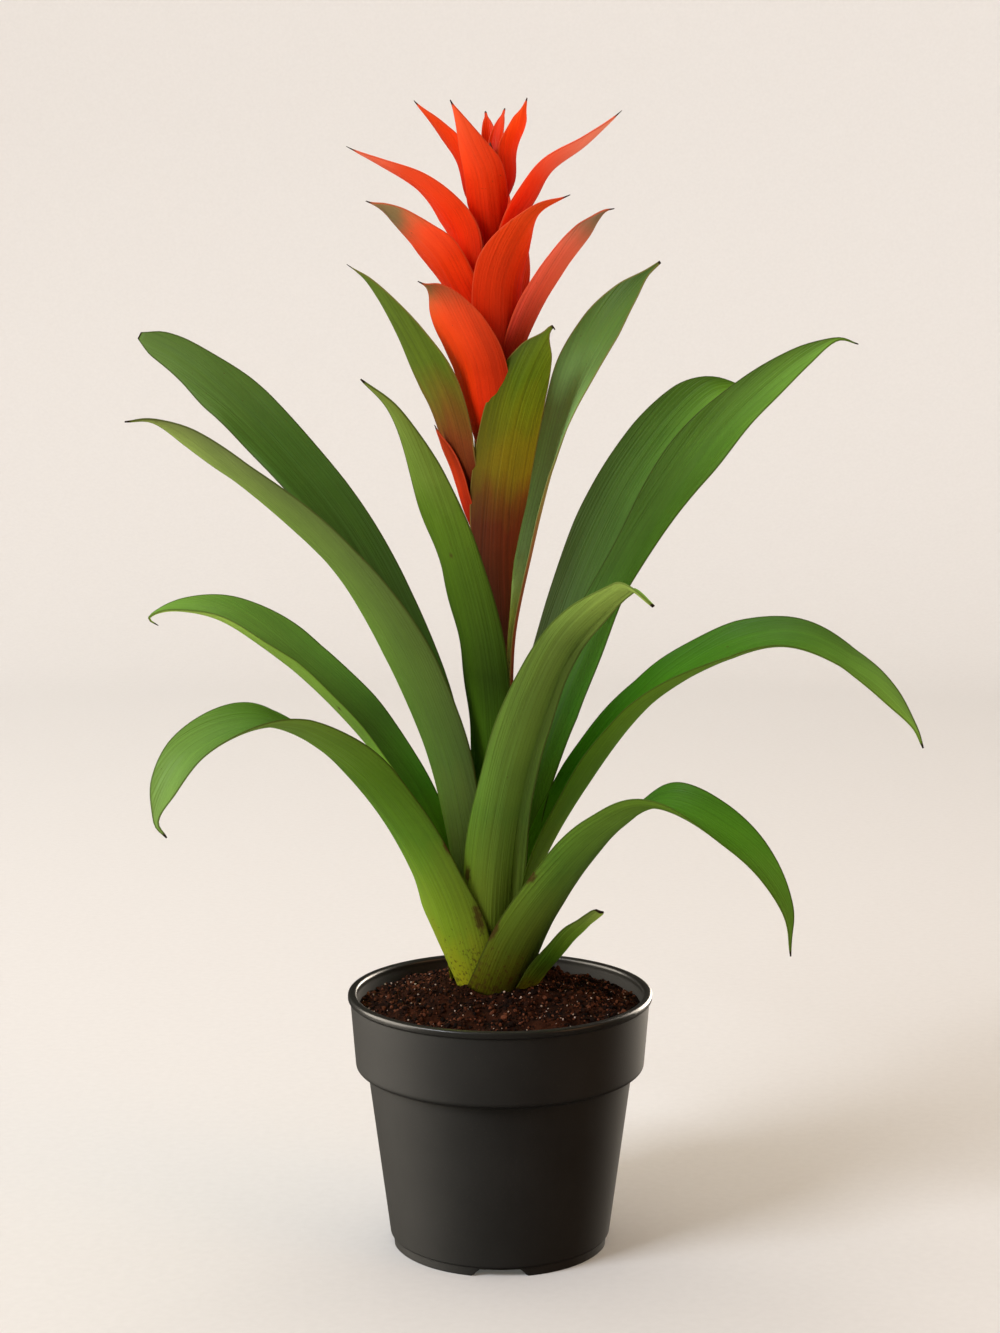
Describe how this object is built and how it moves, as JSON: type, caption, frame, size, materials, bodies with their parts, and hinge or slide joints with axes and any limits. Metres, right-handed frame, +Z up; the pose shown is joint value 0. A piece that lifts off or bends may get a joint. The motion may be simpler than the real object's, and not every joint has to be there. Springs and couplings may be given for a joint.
{
  "type": "potted guzmania",
  "caption": "Potted guzmania: a rosette of long arching leaves round an upright flower spike of pointed red bracts, in peat in a tapered pot with a stepped collar and rolled lip.",
  "frame": {"origin": "on the pot's axis, at the level of the pot's foot", "axes": "+Z up along the pot's axis, -Y towards the viewer's side of the plant, +X to the viewer's right"},
  "size_m": [0.3355, 0.2599, 0.4831],
  "materials": {
    "pot_plastic": "moulded polypropylene, finely grained, charcoal black",
    "peat": "loose dark red-brown peat with a few pale grains, matt",
    "scape_skin": "fibrous stem, brown-red to green, satin",
    "leaf_blade": "leathery leaf, fine lengthwise veins, satin with a soft sheen",
    "green_bract": "leathery bract, green turning red-brown at the root, satin",
    "two_tone_bract": "leathery bract, green through olive yellow to maroon at the root, satin",
    "red_bract": "waxy red-orange bract with a thin dark tip, satin"
  },
  "bodies": {
    "root": {"pot": "pot_plastic", "soil": "peat", "crown_and_scape": "scape_skin", "bract_green_left": "green_bract", "bract_green_right": "green_bract", "bract_green_back": "green_bract", "bract_front_two_tone": "two_tone_bract", "bract_red_low": "red_bract", "flower_head": "red_bract", "leaf_upper_left": "leaf_blade", "leaf_left_front": "leaf_blade", "leaf_left_hooked": "leaf_blade", "leaf_low_left": "leaf_blade", "leaf_upright_left": "leaf_blade", "leaf_front_curled": "leaf_blade", "leaf_right_arching": "leaf_blade", "leaf_low_right": "leaf_blade", "leaf_cut_short": "leaf_blade", "leaf_upper_right": "leaf_blade", "leaf_right_behind": "leaf_blade", "leaf_back_upright": "leaf_blade", "leaf_back_low": "leaf_blade"}
  },
  "joints": []
}
